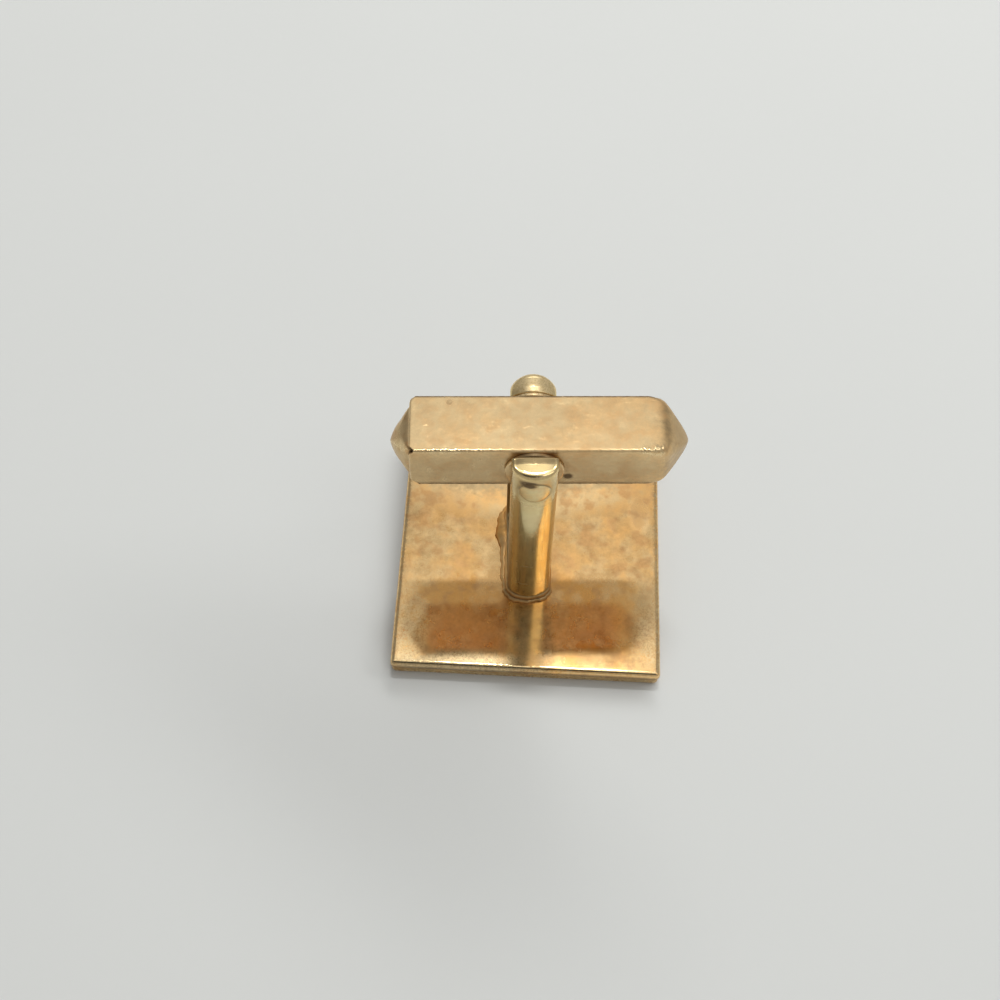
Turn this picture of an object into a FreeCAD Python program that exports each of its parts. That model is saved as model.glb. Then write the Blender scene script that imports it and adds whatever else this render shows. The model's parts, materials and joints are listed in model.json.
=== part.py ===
import FreeCAD, Part
import math
import os

# A swivel-bar cufflink that lies on its front. The front rests in the plane Z = 0, the pivot pin runs
# along Y, and the toggle bar at rest lies along X. Lengths are in millimetres, angles in degrees.

# Face: a front panel and a thinner back plate, soldered together
FACE_SIDE = 18.0
FACE_ROUND = 0.3              # radius of the face's corners and of the plate's upper edge
FACE_TURN = -3.2              # the post was soldered on slightly out of square with the face,
FACE_SHIFT = 0.2              # and this far to the left of the face's middle
PANEL_THICKNESS = 0.8
PANEL_SETBACK = 0.15          # the panel's sides stand this far inside the plate's sides
PANEL_BEVEL = 0.4
PLATE_THICKNESS = 0.6

# Post: two half-round arms on a bridge, bent as one yoke
CUFF_GAP = 12.2               # clear height from the back plate to the toggle bar
ARM_WIDTH = 2.82
ARM_FLANK = 0.5               # straight depth of an arm's side
ARM_CROWN = 0.97              # rise of the round outer side above the flank
ARM_END_RADIUS = 0.4
ARM_END_DROP = 0.05           # the arms end this far below the top of the bar
BRIDGE_THICKNESS = 0.9
BRIDGE_FILLET = 0.6

# Solder round the foot of the post
SOLDER_WIDTH = 0.34
SOLDER_TOP_WIDTH = 0.08
SOLDER_HEIGHT = 0.4
BLOB_REACH = 0.66             # how far the thick blob stands out from the post's left side
BLOB_RADIUS = 1.2
BLOB_TOP_RADIUS = 0.85
BLOB_OFFSET = 1.2             # how far the blob lies beyond the pivot

# Toggle bar: a drawn square shell with a pyramid nose, closed by a plug
BAR_WIDTH = 4.06
BAR_HEIGHT = 3.75
BAR_LENGTH = 15.0             # straight part of the shell
BAR_WALL = 0.4
BAR_EDGE_RADIUS = 0.22
CAVITY_CORNER_RADIUS = 0.15
NOSE_LENGTH = 1.9
MOUTH_CORNER_RADIUS = 0.45    # each wall's free corners at the open end
PLUG_HEAD_LENGTH = 1.2
PLUG_TENON_LENGTH = 1.5

# Pivot: a riveted pin with four flats, and a washer at each side of the bar
PIN_RADIUS = 0.85
PIN_FLAT_DEPTH = 0.25
PIN_CLEARANCE = 0.04
WASHER_RADIUS = 1.8
WASHER_THICKNESS = 0.28
SIDE_PLAY = 0.04              # between a washer and its arm

# Snap spring: a hairpin leaf that straddles the pin
SPRING_THICKNESS = 0.18
SPRING_WALL_GAP = 0.05
SPRING_SIDE_GAP = 0.35
SPRING_END_GAP = 0.3

CUT_OVERRUN = 1.0

# Pull of the two inner poles that make a cubic curve follow a quarter of an ellipse
ROUND_POLE_SHARE = 0.5523

# Stations of a pyramid end: share of its length, then share of its base size
PYRAMID_SHARES = ((0.06, 0.985), (0.17, 0.92), (0.82, 0.29), (0.94, 0.16), (1.0, 0.05))

plate_bottom = PANEL_THICKNESS
plate_top = plate_bottom + PLATE_THICKNESS
bar_bottom = plate_top + CUFF_GAP
pivot_height = bar_bottom + BAR_HEIGHT / 2
arm_top = bar_bottom + BAR_HEIGHT - ARM_END_DROP
arm_inner = BAR_WIDTH / 2 + WASHER_THICKNESS + SIDE_PLAY
arm_shoulder = arm_inner + ARM_FLANK
cavity_width = BAR_WIDTH - 2 * BAR_WALL
cavity_height = BAR_HEIGHT - 2 * BAR_WALL
pin_hole_radius = PIN_RADIUS + PIN_CLEARANCE
pin_flat_height = PIN_RADIUS - PIN_FLAT_DEPTH
bar_mouth = -BAR_LENGTH / 2
bar_shoulder = BAR_LENGTH / 2


def vector(x, y, z):
    return FreeCAD.Vector(x, y, z)


def rounded_rectangle(width, height, radius, place):
    """Rectangle with round corners about a middle point; place turns its two coordinates into a point."""
    corners = []
    for quarter, (side_u, side_v) in enumerate(((1, 1), (-1, 1), (-1, -1), (1, -1))):
        middle_u = side_u * (width / 2 - radius)
        middle_v = side_v * (height / 2 - radius)
        angles = [math.radians(90 * quarter + 45 * step) for step in range(3)]
        corners.append([place(middle_u + radius * math.cos(angle), middle_v + radius * math.sin(angle))
                        for angle in angles])
    edges = []
    for corner, following in zip(corners, corners[1:] + corners[:1]):
        edges.append(Part.Arc(*corner).toShape())
        edges.append(Part.makeLine(corner[-1], following[0]))
    return Part.Wire(edges)


def face_outline(side, height):
    """Square with round corners about the Z axis, at a level."""
    return rounded_rectangle(side, side, FACE_ROUND, lambda u, v: vector(u, v, height))


def rim_edges(solid, height):
    """Edges of a solid that lie in the level plane at the given height."""
    near = solid.BoundBox.ZLength / 100
    return [edge for edge in solid.Edges
            if edge.BoundBox.ZLength < near and abs(edge.BoundBox.ZMin - height) < near]


def placed_face(solid):
    """Give a piece of the face its small turn and shift from the post's axis."""
    return solid.rotated(vector(0, 0, 0), vector(0, 0, 1), FACE_TURN).translated(vector(FACE_SHIFT, 0, 0))


def face_panel():
    """Front sheet with a bevel round its front."""
    side = FACE_SIDE - 2 * PANEL_SETBACK
    levels = [face_outline(side - 2 * PANEL_BEVEL, 0), face_outline(side, PANEL_BEVEL),
              face_outline(side, PANEL_THICKNESS)]
    return placed_face(Part.makeLoft(levels, True, True))


def back_plate():
    """Back sheet with round corners and a rounded upper edge."""
    corner = vector(-FACE_SIDE / 2, -FACE_SIDE / 2, plate_bottom)
    sheet = Part.makeBox(FACE_SIDE, FACE_SIDE, PLATE_THICKNESS, corner)
    lower_rim = [edge.hashCode() for edge in rim_edges(sheet, plate_bottom)]
    rounded = [edge for edge in sheet.Edges if edge.hashCode() not in lower_rim]
    return placed_face(sheet.makeFillet(FACE_ROUND, rounded))


def quarter_round(start, corner, end):
    """Cubic curve that follows a quarter of an ellipse from start to end, inside the corner."""
    curve = Part.BezierCurve()
    first_pole = start + (corner - start) * ROUND_POLE_SHARE
    second_pole = end + (corner - end) * ROUND_POLE_SHARE
    curve.setPoles([start, first_pole, second_pole, end])
    return curve.toShape()


def post_outline(grow, height):
    """Plan of the post at a level: straight flanks and a half-round crown at each end."""
    side = ARM_WIDTH / 2 + grow
    crown = arm_shoulder + ARM_CROWN + grow
    edges = []
    for turn in (1, -1):
        flank_start = vector(turn * side, -turn * arm_shoulder, height)
        flank_end = vector(turn * side, turn * arm_shoulder, height)
        top = vector(0, turn * crown, height)
        far_flank = vector(-turn * side, turn * arm_shoulder, height)
        edges.append(Part.makeLine(flank_start, flank_end))
        edges.append(quarter_round(flank_end, vector(turn * side, turn * crown, height), top))
        edges.append(quarter_round(top, vector(-turn * side, turn * crown, height), far_flank))
    return Part.Wire(edges)


def post_column(bottom, top):
    """Solid column with the plan of the post."""
    return Part.Face(post_outline(0, bottom)).extrude(vector(0, 0, top - bottom))


def pin_round(radius):
    """Round bar along the pivot, longer than the post is deep."""
    reach = arm_shoulder + ARM_CROWN + CUT_OVERRUN
    return Part.makeCylinder(radius, 2 * reach, vector(0, -reach, pivot_height), vector(0, 1, 0))


def post_yoke():
    """Column split by the slot for the bar, with round ends and a hole for the pin in each arm."""
    slot_bottom = plate_top + BRIDGE_THICKNESS
    slot_length = ARM_WIDTH + 2 * CUT_OVERRUN
    slot = Part.makeBox(slot_length, 2 * arm_inner, arm_top + CUT_OVERRUN - slot_bottom,
                        vector(-slot_length / 2, -arm_inner, slot_bottom))
    slot_corners = [edge for edge in rim_edges(slot, slot_bottom) if edge.BoundBox.YLength < arm_inner]
    slot = slot.makeFillet(BRIDGE_FILLET, slot_corners)
    yoke = post_column(plate_top, arm_top).cut(slot)
    outer_ends = [edge for edge in rim_edges(yoke, arm_top)
                  if max(abs(edge.BoundBox.YMin), abs(edge.BoundBox.YMax)) > arm_inner + ARM_FLANK / 2]
    yoke = yoke.makeFillet(ARM_END_RADIUS, outer_ends)
    return yoke.cut(pin_round(PIN_RADIUS))


def solder_bead():
    """Sloping bead round the foot of the post, with a thicker blob at its left side."""
    foot = post_outline(SOLDER_WIDTH, plate_top)
    top = post_outline(SOLDER_TOP_WIDTH, plate_top + SOLDER_HEIGHT)
    bead = Part.makeLoft([foot, top], True, True)
    blob_middle = vector(BLOB_RADIUS - ARM_WIDTH / 2 - BLOB_REACH, BLOB_OFFSET, plate_top)
    blob = Part.makeCone(BLOB_RADIUS, BLOB_TOP_RADIUS, SOLDER_HEIGHT, blob_middle)
    return bead.fuse(blob).cut(post_column(plate_top, arm_top)).removeSplitter()


def pivot_pin():
    """Round pin, flush with the crowns of both arms, with four flats inside the bar."""
    pin = pin_round(PIN_RADIUS).common(post_column(plate_top, arm_top))
    flat_side = 2 * pin_flat_height
    core = Part.makeBox(flat_side, cavity_width, flat_side,
                        vector(-pin_flat_height, -cavity_width / 2, pivot_height - pin_flat_height))
    gap = Part.makeBox(2 * PIN_RADIUS, cavity_width, 2 * PIN_RADIUS,
                       vector(-PIN_RADIUS, -cavity_width / 2, pivot_height - PIN_RADIUS))
    return pin.cut(gap.cut(core))


def pivot_washer(side):
    """Flat ring between the bar and one arm; side is -1 for the near arm and 1 for the far arm."""
    inner_face = vector(0, side * BAR_WIDTH / 2, pivot_height)
    outward = vector(0, side, 0)
    disc = Part.makeCylinder(WASHER_RADIUS, WASHER_THICKNESS, inner_face, outward)
    return disc.cut(pin_round(pin_hole_radius))


def bar_section(x, width, height, radius):
    """Rectangle with round corners across the bar at x, about the pivot height."""
    return rounded_rectangle(width, height, radius, lambda u, v: vector(x, u, pivot_height + v))


def pointed_bar(start, shoulder, point_length, width, height, radius):
    """Square bar from start to shoulder with a soft pyramid beyond, of the given signed length."""
    stations = [(start, 1), (shoulder, 1)]
    stations += [(shoulder + reach * point_length, size) for reach, size in PYRAMID_SHARES]
    sections = [bar_section(x, size * width, size * height, size * radius) for x, size in stations]
    return Part.makeLoft(sections, True, True)


def mouth_bites():
    """Corners that are rounded off the free ends of the four walls at the open end."""
    radius = MOUTH_CORNER_RADIUS
    depth = BAR_WALL + CUT_OVERRUN
    corner = Part.makeBox(radius, radius, depth).cut(
        Part.makeCylinder(radius, depth, vector(radius, radius, 0)))
    top_bite = corner.translated(vector(bar_mouth, -BAR_WIDTH / 2, BAR_HEIGHT / 2 - BAR_WALL))
    side_bite = corner.rotated(vector(0, 0, 0), vector(1, 0, 0), -90)
    side_bite = side_bite.mirror(vector(0, 0, 0), vector(0, 1, 0))
    side_bite = side_bite.translated(vector(bar_mouth, BAR_WALL - BAR_WIDTH / 2, BAR_HEIGHT / 2))
    bites = [top_bite, side_bite]
    bites += [bite.mirror(vector(0, 0, 0), vector(0, 1, 0)) for bite in bites]
    bites += [bite.mirror(vector(0, 0, 0), vector(0, 0, 1)) for bite in bites]
    return [bite.translated(vector(0, 0, pivot_height)) for bite in bites]


def toggle_shell():
    """Hollow bar with its nose, open at the other end, with a hole for the pin in both sides."""
    outside = pointed_bar(bar_mouth, bar_shoulder, NOSE_LENGTH, BAR_WIDTH, BAR_HEIGHT, BAR_EDGE_RADIUS)
    cavity_point = NOSE_LENGTH * cavity_height / BAR_HEIGHT
    cavity = pointed_bar(bar_mouth - CUT_OVERRUN, bar_shoulder, cavity_point,
                         cavity_width, cavity_height, CAVITY_CORNER_RADIUS)
    shell = outside.cut(cavity)
    for bite in mouth_bites():
        shell = shell.cut(bite)
    return shell.cut(pin_round(pin_hole_radius))


def end_plug():
    """Tenon that fills the open end of the shell, with a pyramid head outside it."""
    return pointed_bar(bar_mouth + PLUG_TENON_LENGTH, bar_mouth, -PLUG_HEAD_LENGTH,
                       cavity_width, cavity_height, CAVITY_CORNER_RADIUS)


def snap_spring():
    """Hairpin leaf: its two legs dip to the flats of the pin and meet in a round bend at the nose end."""
    bend_outer = cavity_height / 2 - SPRING_WALL_GAP
    bend_inner = bend_outer - SPRING_THICKNESS
    width = cavity_width - 2 * SPRING_SIDE_GAP
    free_end = bar_mouth + PLUG_TENON_LENGTH + SPRING_END_GAP
    bend_middle = bar_shoulder - SPRING_END_GAP - bend_outer
    leg = ((free_end, bend_inner), (-pin_flat_height, pin_flat_height),
           (pin_flat_height, pin_flat_height), (bend_middle, bend_inner))

    def point(x, rise):
        return vector(x, -width / 2, pivot_height + rise)

    def leg_line(side, thickness):
        return [point(x, side * (rise + thickness)) for x, rise in leg]

    def bend(radius):
        return Part.Arc(point(bend_middle, radius), point(bend_middle + radius, 0),
                        point(bend_middle, -radius)).toShape()

    outer_upper = leg_line(1, SPRING_THICKNESS)
    outer_lower = leg_line(-1, SPRING_THICKNESS)[::-1]
    inner_lower = leg_line(-1, 0)
    inner_upper = leg_line(1, 0)[::-1]
    edges = list(Part.makePolygon(outer_upper).Edges)
    edges.append(bend(bend_outer))
    edges += Part.makePolygon(outer_lower + inner_lower).Edges
    edges.append(bend(bend_inner))
    edges += Part.makePolygon(inner_upper + outer_upper[:1]).Edges
    profile = Part.Wire(Part.__sortEdges__(edges))
    return Part.Face(profile).extrude(vector(0, width, 0))


def main():
    pieces = {
        "face_panel": face_panel(),
        "back_plate": back_plate(),
        "post_yoke": post_yoke(),
        "solder_bead": solder_bead(),
        "pivot_pin": pivot_pin(),
        "near_washer": pivot_washer(-1),
        "far_washer": pivot_washer(1),
        "toggle_shell": toggle_shell(),
        "end_plug": end_plug(),
        "snap_spring": snap_spring(),
    }
    os.makedirs("parts", exist_ok=True)
    for name, shape in pieces.items():
        shape.exportStep(os.path.join("parts", name + ".step"))
        print(name, len(shape.Solids), shape.isValid(), round(shape.Volume, 3))


main()
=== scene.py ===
"""Looks of a swivel-bar cufflink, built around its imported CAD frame.

The link lies on its front: the front rests in the plane Z = 0, the pivot runs along Y and the bar lies
along X. Shapes are worked out in millimetres, and go into the meshes in metres.
"""

import json
import math
from types import SimpleNamespace

import bpy
import numpy as np
from mathutils import Matrix, Vector


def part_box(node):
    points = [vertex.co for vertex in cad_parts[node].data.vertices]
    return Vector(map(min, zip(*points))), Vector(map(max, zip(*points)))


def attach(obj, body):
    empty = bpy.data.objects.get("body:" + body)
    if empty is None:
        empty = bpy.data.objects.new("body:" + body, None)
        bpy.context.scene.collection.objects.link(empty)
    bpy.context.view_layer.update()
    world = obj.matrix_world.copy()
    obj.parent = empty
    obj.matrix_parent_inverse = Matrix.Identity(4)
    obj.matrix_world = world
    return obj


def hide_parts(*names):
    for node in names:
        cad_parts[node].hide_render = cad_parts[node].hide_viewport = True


bl_info = {
    "name": "Swivel-Bar Cufflink",
    "version": (1, 0, 0),
    "blender": (4, 5, 0),
    "location": "View3D > Sidebar > Cufflink",
    "description": "Builds the gilt pieces, finishes and studio of a swivel-bar cufflink",
    "category": "Add Mesh",
}

MM = 0.001
QUARTER = np.pi / 2

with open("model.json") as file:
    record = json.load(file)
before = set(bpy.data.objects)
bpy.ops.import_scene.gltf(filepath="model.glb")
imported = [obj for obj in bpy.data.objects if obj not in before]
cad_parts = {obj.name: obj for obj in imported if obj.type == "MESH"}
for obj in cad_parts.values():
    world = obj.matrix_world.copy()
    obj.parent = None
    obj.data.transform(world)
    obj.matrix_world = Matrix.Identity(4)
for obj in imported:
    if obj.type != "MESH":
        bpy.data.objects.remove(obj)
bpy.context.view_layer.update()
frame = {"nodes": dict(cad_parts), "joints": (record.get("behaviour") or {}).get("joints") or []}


def node_edges(node):
    """Lowest and highest corner of a CAD node at rest, in millimetres."""
    low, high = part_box(node)
    return np.array(low) / MM, np.array(high) / MM


PLATE_LOW, PLATE_HIGH = node_edges("back_plate")
YOKE_LOW, YOKE_HIGH = node_edges("post_yoke")
SHELL_LOW, SHELL_HIGH = node_edges("toggle_shell")
PLUG_LOW, PLUG_HIGH = node_edges("end_plug")
WASHER_LOW, WASHER_HIGH = node_edges("far_washer")
PIVOT_HEIGHT = frame["joints"][0]["pos_m"][2] / MM

# Play between the pieces that turn against each other, and the inner face of the far arm
PLAY = 0.04
ARM_INNER = WASHER_HIGH[1] + PLAY


# Settings


def number(name, description, default, **kind):
    return bpy.props.FloatProperty(name=name, description=description, default=default, **kind)


def length(name, description, millimetres):
    return number(name, description, millimetres * MM, unit="LENGTH", precision=5)


def angle(name, description, degrees):
    return number(name, description, math.radians(degrees), subtype="ANGLE")


def colour(name, description, default):
    return bpy.props.FloatVectorProperty(
        name=name, description=description, default=default, min=0.0, max=1.0, size=3, subtype="COLOR")


class CufflinkSizes(bpy.types.PropertyGroup):
    """Lengths of the visible pieces that the frame's boxes don't give."""

    face_side: length("Face side", "Side of the square back plate", 18.0)
    face_round: length("Face rounding", "Radius of the plate's corners and upper rim", 0.3)
    face_shift: length("Face shift", "Distance of the face's middle from the post's axis", 0.2)
    panel_setback: length("Panel setback", "Step from the plate's side to the front panel's side", 0.06)
    panel_bevel: length("Panel bevel", "Width of the bevel round the front", 0.14)
    arm_flank: length("Arm flank", "Straight depth of an arm's side", 0.5)
    arm_end_round: length("Arm end rounding", "Radius from an arm's free end to its crown", 0.4)
    bridge_thickness: length("Bridge thickness", "Height of the bridge between the arms", 0.9)
    bridge_fillet: length("Bridge fillet", "Radius between an arm and the bridge", 0.6)
    rivet_radius: length("Rivet radius", "Radius of the spread rivet head in an arm", 1.03)
    pin_radius: length("Pin radius", "Radius of the pivot pin", 0.85)
    pin_flat: length("Pin flat", "Distance of the pin's flats from its axis, just clear of the spring", 0.59)
    bar_length: length("Bar length", "Straight part of the bar", 15.0)
    bar_round: length("Bar edge rounding", "Radius of the bar's long edges", 0.16)
    bar_wall: length("Bar wall", "Thickness of the bar's sheet", 0.4)
    mouth_notch: length("Mouth notch", "Depth of the notches at the corners of the bar's open end", 0.3)
    plug_gap: length("Plug gap", "Gap between the plug and the bar's walls", 0.05)


class CufflinkTurn(bpy.types.PropertyGroup):
    """Angle between the face and the post."""

    face_turn: angle("Face turn", "Turn of the face about the post's axis", -3.2)


class CufflinkFinish(bpy.types.PropertyGroup):
    """Colours of the gilding, of what age has left on it, and of painted shade and highlights."""

    plate_gold: colour("Plate gold", "Gilding of the face and the solder", (0.94, 0.54, 0.18))
    post_gold: colour("Post gold", "Gilding of the post and its pin", (0.86, 0.725, 0.385))
    bar_gold: colour("Bar gold", "Gilding of the bar, its plug and the washers", (0.80, 0.575, 0.302))
    ruddy: colour("Ruddy tarnish", "Rosy tarnish in the gilding", (0.84, 0.43, 0.12))
    rust: colour("Rusty freckles", "Small rusty spots in the gilding", (0.64, 0.35, 0.14))
    # Dark tarnish also serves as painted shade on faces that some patches darken
    tarnish: colour("Dark tarnish", "Brown veil over the gilding", (0.40, 0.285, 0.15))
    # Worn gold also serves as painted highlight where some patches make faces paler
    pale_wear_and_highlight: colour("Worn gold", "Pale gold of rubbed edges", (0.95, 0.76, 0.44))
    # Grime is also painted shade: dark lines along the bar's lower and far edges, and on the near ring's top
    grime_and_shade: colour("Grime", "Dirt in corners and pits", (0.11, 0.06, 0.022))
    steel: colour("Spring steel", "Bare steel of the spring", (0.55, 0.55, 0.56))
    straw: colour("Straw tint", "Faint clouds in the steel", (0.5, 0.44, 0.34))


class CufflinkStudio(bpy.types.PropertyGroup):
    """Camera, light and floor."""

    azimuth: angle("Azimuth", "Camera's turn about the vertical", -1.63)
    elevation: angle("Elevation", "Camera's height above the horizon", 59.31)
    roll: angle("Roll", "Camera's turn about its own axis", 1.32)
    distance: length("Distance", "Camera's distance from the back plate", 93.93)
    slide_right: length("Slide right", "Camera's offset to the right of the plate's middle", -2.08)
    slide_up: length("Slide up", "Camera's offset above the plate's middle", 3.55)
    lens: number("Lens", "Focal length of the camera", 48.49, min=0.0, unit="CAMERA")
    window_power: number("Window power", "Power of the window at the back", 3.1, min=0.0, unit="POWER")
    strip_power: number("Strip power", "Power of the strip lamp overhead", 0.175, min=0.0, unit="POWER")
    sky: number("Sky", "Level of the soft light all round", 1.0, min=0.0, max=1.0, subtype="FACTOR")
    floor: colour("Floor", "Pale table under the link", (0.672, 0.684, 0.668))


def sizes():
    """The lengths of the pieces in millimetres, by name."""
    group = bpy.context.scene.cufflink_sizes
    return SimpleNamespace(**{name: getattr(group, name) / MM for name in CufflinkSizes.__annotations__})


# Meshes


def join(*parts):
    """One array of the parts, one after the other."""
    return np.concatenate(parts)


def skin(name, rings, edge=None, grime_and_shade=None, wrap=False, last_pole=True):
    """Closed mesh over a grid of points.

    rings has one row of points per station, each row closed on itself, in millimetres. Neighbouring rows
    are joined by quads; the first and last rows are closed by a fan to their mean point, or joined to
    each other with wrap. Without last_pole the last row stays open, as on a floor. edge and grime are
    numbers over the grid that become point attributes.
    """
    stations, count = rings.shape[:2]
    index = np.arange(stations * count).reshape(stations, count)
    lower = index if wrap else index[:-1]
    upper = np.roll(index, -1, axis=0) if wrap else index[1:]
    quads = np.stack((lower, np.roll(lower, -1, 1), np.roll(upper, -1, 1), upper), -1).reshape(-1, 4)
    points = rings.reshape(-1, 3)
    fans = np.zeros((0, 3), int)
    marks = {} if edge is None else {"edge": edge, "grime_and_shade": grime_and_shade}
    values = {key: np.broadcast_to(mark, (stations, count)).ravel() for key, mark in marks.items()}
    if not wrap:
        first, last = index[0], index[-1]
        ends = [np.stack((np.full(count, len(points)), np.roll(first, -1), first), -1)]
        poles = [rings[:1].mean(1)]
        tips = {key: [value[first].mean()] for key, value in values.items()}
        if last_pole:
            ends.append(np.stack((np.full(count, len(points) + 1), last, np.roll(last, -1)), -1))
            poles.append(rings[-1:].mean(1))
            tips = {key: tip + [values[key][last].mean()] for key, tip in tips.items()}
        fans = join(*ends)
        points = join(points, *poles)
        values = {key: join(value, tips[key]) for key, value in values.items()}
    corners = join(quads[:, [0, 1, 2]], quads[:, [0, 2, 3]], fans)
    a, b, c = (points[corners[:, k]] for k in range(3))
    if last_pole and np.einsum("ij,ij->i", a, np.cross(b, c)).sum() < 0:
        quads, fans = quads[:, ::-1], fans[:, ::-1]
    mesh = bpy.data.meshes.new(name)
    mesh.vertices.add(len(points))
    mesh.vertices.foreach_set("co", (points * MM).astype(np.float32).ravel())
    mesh.loops.add(quads.size + fans.size)
    mesh.loops.foreach_set("vertex_index", join(quads.ravel(), fans.ravel()).astype(np.int32))
    mesh.polygons.add(len(quads) + len(fans))
    starts = join(np.arange(len(quads)) * 4, quads.size + np.arange(len(fans)) * 3)
    mesh.polygons.foreach_set("loop_start", starts.astype(np.int32))
    mesh.update(calc_edges=True)
    mesh.validate()
    mesh.shade_smooth()
    for key, value in values.items():
        attribute = mesh.attributes.new(key, "FLOAT", "POINT")
        attribute.data.foreach_set("value", value.astype(np.float32))
    return mesh


def add_object(name, data):
    made = bpy.data.objects.new(name, data)
    bpy.context.scene.collection.objects.link(made)
    return made


def add_piece(name, mesh, material, node, body):
    """Show a mesh in place of a CAD node, riding on its body."""
    piece = add_object(name, mesh)
    mesh.materials.append(material)
    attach(piece, body)
    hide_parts(node)


def eased(value, low, high):
    """Smooth step from 0 at low to 1 at high."""
    t = np.clip((value - low) / (high - low), 0, 1)
    return t * t * (3 - 2 * t)


def bell(distance, width):
    """Bell curve: 1 at no distance, about a third at the width."""
    return np.exp(-(distance / width) ** 2)


def there_and_back(rows):
    """Rows from the near end to the middle, and the same ones back to the far end."""
    return join(rows, rows[::-1])


def round_about(count):
    """Angles of evenly spaced points round a circle."""
    return np.linspace(0, 2 * np.pi, count, endpoint=False)


def square_loop(corner_steps, side_steps):
    """Points round a rounded rectangle, as the corner's signs and the outward direction of each.

    A point is signs * (half size - radius) + directions * radius. On a corner the direction turns a
    quarter; along a side the signs run straight from one corner to the next, closer near its ends.
    """
    corners = np.array(((1, 1), (-1, 1), (-1, -1), (1, -1)), float)
    steps = np.roll(corners, -1, axis=0) - corners
    angles = np.arange(4)[:, None] * QUARTER + np.linspace(0, QUARTER, corner_steps)
    arc_directions = np.stack((np.cos(angles), np.sin(angles)), -1)
    along = 0.5 - 0.5 * np.cos(np.linspace(0, np.pi, side_steps + 2)[1:-1])
    side_signs = corners[:, None] + steps[:, None] * along[:, None]
    signs = np.concatenate((np.repeat(corners[:, None], corner_steps, 1), side_signs), 1)
    directions = np.concatenate((arc_directions, np.repeat(arc_directions[:, -1:], side_steps, 1)), 1)
    return signs.reshape(-1, 2), directions.reshape(-1, 2)


def square_rings(loop, half_u, half_v, radius):
    """Rounded rectangles, one per entry of the half sizes: u and v of every point. The radius has an
    entry for each rectangle, or a row with one for each point."""
    signs, directions = loop
    half_u, half_v = np.asarray(half_u, float)[:, None], np.asarray(half_v, float)[:, None]
    radius = np.asarray(radius, float)
    radius = radius.reshape(len(radius), -1)
    u = signs[:, 0] * (half_u - radius) + directions[:, 0] * radius
    v = signs[:, 1] * (half_v - radius) + directions[:, 1] * radius
    return u, v


def from_edges(loop, half_u, half_v, radius):
    """Points of a rounded rectangle, and how far each is from the nearest of its four corners."""
    u, v = square_rings(loop, [half_u], [half_v], [radius])
    return u, v, np.maximum(half_u - np.abs(u), half_v - np.abs(v))


def face_rings(half, radius, height):
    """Level rounded squares of the face, with the face's small turn and shift from the post."""
    corner_steps, side_steps = 13, 60
    size = sizes()
    u, v = square_rings(square_loop(corner_steps, side_steps), half, half, radius)
    turn = bpy.context.scene.cufflink_turn.face_turn
    x = u * math.cos(turn) - v * math.sin(turn) + size.face_shift
    y = u * math.sin(turn) + v * math.cos(turn)
    return np.stack((x, y, np.broadcast_to(np.asarray(height, float)[:, None], x.shape)), -1)


def plate_mesh(size):
    """Square sheet: level rounded squares go out along the underside, up the side, round the quarter
    circle of the rim, and shrink to the middle of the top."""
    half, rim = size.face_side / 2, size.face_round
    bottom, top = PLATE_LOW[2], PLATE_HIGH[2]
    lip, low_band, seam_height = 0.04, 0.12, 0.2
    smallest_corner, rub_width, seam_grime = 0.05, 0.16, 0.75
    turn = np.linspace(0, QUARTER, 15)
    underside = half * np.array((0.97, 0.5, 0.05))
    behind_rim = rim + np.array((0.03, 0.08, 0.2, 0.5))
    shrink = np.linspace(0.9, 0.02, 23)
    side = (low_band, lip, lip * 0.3, 0, 0)
    inset = join(underside, side, rim * (1 - np.cos(turn)), behind_rim)
    halves = join(half - inset, (half - rim) * shrink)
    heights = join(np.full(5, bottom), bottom + np.array((lip * 0.3, lip, low_band)),
                   top - rim + rim * np.sin(turn), np.full(len(behind_rim) + len(shrink), top))
    radii = np.minimum(np.maximum(rim - (half - halves), smallest_corner), halves * 0.5)
    above_seam = heights > bottom + seam_height
    edge = np.where(above_seam, bell(half - 0.6 * rim - halves, rub_width), 0.0)
    seam = np.where(above_seam, 0.0, seam_grime)
    return skin("gilt_back_plate", face_rings(halves, radii, heights), edge[:, None], seam[:, None])


def panel_mesh(size):
    """Front sheet: level rounded squares go out along the front, up a bevel with eased edges, up the
    side, and shrink to the middle of the hidden face."""
    half = size.face_side / 2 - size.panel_setback
    bevel, top = size.panel_bevel, PLATE_LOW[2]
    inner = half - bevel
    front = inner * np.array((0.02, 0.2, 0.4, 0.6, 0.8, 0.93))
    front_edge = inner - np.array((0.12, 0.04, 0.01))
    climb = bevel * np.array((0.08, 0.25, 0.75, 0.92))
    side = half - np.array((0.005, 0.0, 0.0, 0.0, 0.02, 0.1))
    hidden = half * np.array((0.5, 0.03))
    halves = join(front, front_edge, inner + climb, side, hidden)
    heights = join(np.zeros(8), (0.005,), climb, bevel + np.array((0.005, 0.04, 0.15)),
                   top - np.array((0.03, 0.01, 0.0, 0.0, 0.0)))
    radii = np.minimum(size.face_round, halves * 0.5)
    edge = bell(halves - inner, 0.06) + bell(halves - half, 0.03) * (heights < top - 0.1)
    grime_and_shade = 0.9 * eased(heights, top - 0.2, top - 0.02)
    return skin("gilt_front", face_rings(halves, radii, heights), edge[:, None], grime_and_shade[:, None])


def crown_depth(x, half, rise):
    """Height of an arm's half-elliptical crown above its flank, at x across the arm."""
    return rise * np.sqrt(np.clip(1 - (x / half) ** 2, 0, 1))


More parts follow.
